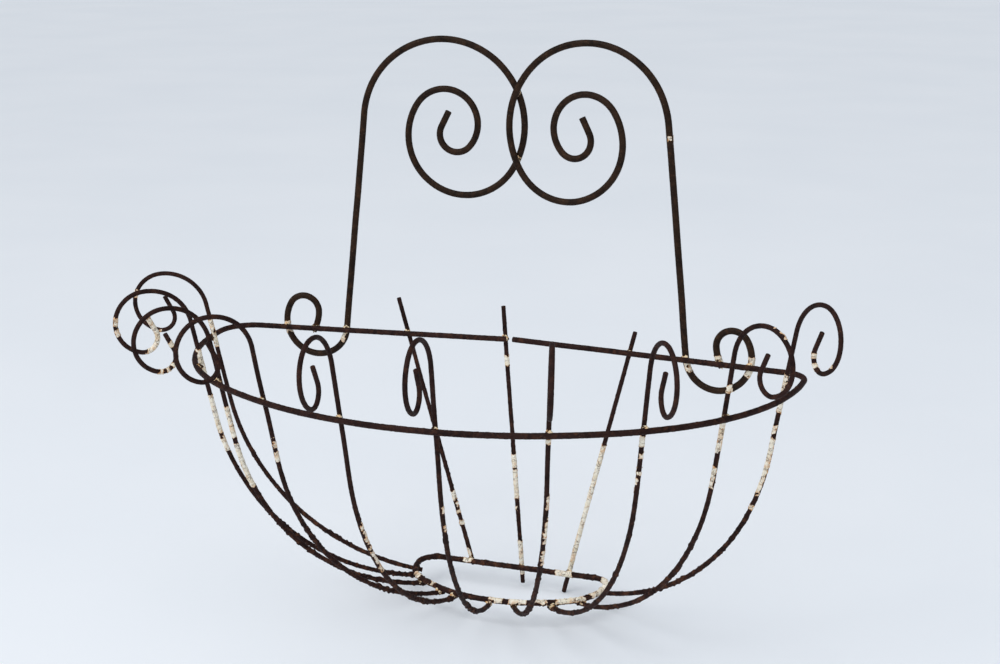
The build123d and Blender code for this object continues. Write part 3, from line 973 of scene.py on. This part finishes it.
# the CAD's own meshes get rust too, for a view that shows them
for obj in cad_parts.values():
    obj.data.materials.clear()
    obj.data.materials.append(wire_rust.material)

# ---------------------------------------------------------------- floor, light, camera
# from here on lengths are in metres
FLOOR_HALF = 14.0
FLOOR_DROP = 0.0005  # the floor lies this far under the part
SKY_COLOUR = (0.86, 0.92, 1.0)
SKY_LIGHT, SKY_SEEN = 0.36, 0.84  # how bright the sky lights the part, and how bright it looks
AIM = (0, -0.1, -0.25)  # middle of the basket
# softboxes as (place, width, watts, colour)
SOFTBOXES = {
    "key": ((-1.1, -1.9, 1.4), 0.9, 13, (1.0, 0.985, 0.96)),
    "fill": ((1.7, -1.5, 1.1), 1.2, 6, (0.95, 0.975, 1.0)),
}
SUN_STRENGTH, SUN_ANGLE, SUN_COLOUR = 1.78, rad(75), (0.97, 0.985, 1.0)
SUN_TURN = (rad(28), rad(-12), 0)
# the photo's camera, as fitted to the layout: it looks at a point beside the rim's back
AZIMUTH, ELEVATION, ROLL = rad(20.0), rad(15.5), rad(-0.59)
LOOK_AT = vec(-0.0142, RIM_Y / 1000, RIM_Z / 1000 + 0.0061)
DISTANCE = 1.518
LENS, SENSOR = 59.06, 36.0  # in mm
NEAR, FAR = 0.05, 60


def build_floor():
    """A wide pale floor right under the part."""
    z = CAD_LO[2] / 1000 - FLOOR_DROP
    corners = [(x * FLOOR_HALF, y * FLOOR_HALF, z) for x, y in ((-1, -1), (1, -1), (1, 1), (-1, 1))]
    mesh = bpy.data.meshes.new("floor")
    mesh.from_pydata(corners, [], [(0, 1, 2, 3)])
    floor = place("floor", mesh)
    m = Nodes("pale_floor")
    pale = m.ramp(m.noise(420, 3, 0.5), (0.3, (0.87, 0.90, 0.94)), (0.7, (0.90, 0.925, 0.96)))
    m.link(pale, m.bsdf.inputs["Base Color"])
    m.bsdf.inputs["Roughness"].default_value = 0.62
    m.bsdf.inputs["Specular IOR Level"].default_value = 0.25
    mesh.materials.append(m.material)


def build_sky():
    """A plain sky that looks brighter to the camera than it lights the part."""
    world = bpy.data.worlds.new("studio")
    bpy.context.scene.world = world
    world.use_nodes = True
    tree = world.node_tree
    backdrop = tree.nodes["Background"]
    backdrop.inputs["Color"].default_value = (*SKY_COLOUR, 1)
    rays = tree.nodes.new("ShaderNodeLightPath")
    strength = tree.nodes.new("ShaderNodeMapRange")
    strength.inputs["To Min"].default_value = SKY_LIGHT
    strength.inputs["To Max"].default_value = SKY_SEEN
    tree.links.new(rays.outputs["Is Camera Ray"], strength.inputs["Value"])
    tree.links.new(strength.outputs["Result"], backdrop.inputs["Strength"])


def softbox(name, at, width, watts, colour):
    """A square lamp that looks at the basket."""
    light = bpy.data.lights.new(name, "AREA")
    light.shape, light.size, light.size_y = "RECTANGLE", width, width
    light.energy, light.color = watts, colour
    obj = place(name, light)
    obj.location = at
    direction = Vector(AIM) - Vector(at)
    obj.rotation_euler = direction.to_track_quat("-Z", "Y").to_euler()


def build_sun():
    """A wide soft sun that lights the whole floor evenly."""
    sun = bpy.data.lights.new("sun", "SUN")
    sun.energy, sun.angle, sun.color = SUN_STRENGTH, SUN_ANGLE, SUN_COLOUR
    place("sun", sun).rotation_euler = SUN_TURN


def build_camera():
    """The photo's view."""
    az, el = AZIMUTH, ELEVATION
    forward = vec(-sin(az) * cos(el), cos(az) * cos(el), -sin(el))
    right = vec(cos(az), sin(az), 0)
    up = np.cross(right, forward)
    x_axis = cos(ROLL) * right + sin(ROLL) * up
    y_axis = -sin(ROLL) * right + cos(ROLL) * up
    eye = LOOK_AT - forward * DISTANCE
    data = bpy.data.cameras.new("camera")
    data.lens, data.sensor_width = LENS, SENSOR
    data.clip_start, data.clip_end = NEAR, FAR
    camera = place("camera", data)
    rows = [[x_axis[k], y_axis[k], -forward[k], eye[k]] for k in range(3)]
    camera.matrix_world = Matrix(rows + [[0, 0, 0, 1]])
    bpy.context.scene.camera = camera


build_floor()
build_sky()
for name, row in SOFTBOXES.items():
    softbox(name, *row)
build_sun()
build_camera()
bpy.context.scene.view_settings.view_transform = "Standard"
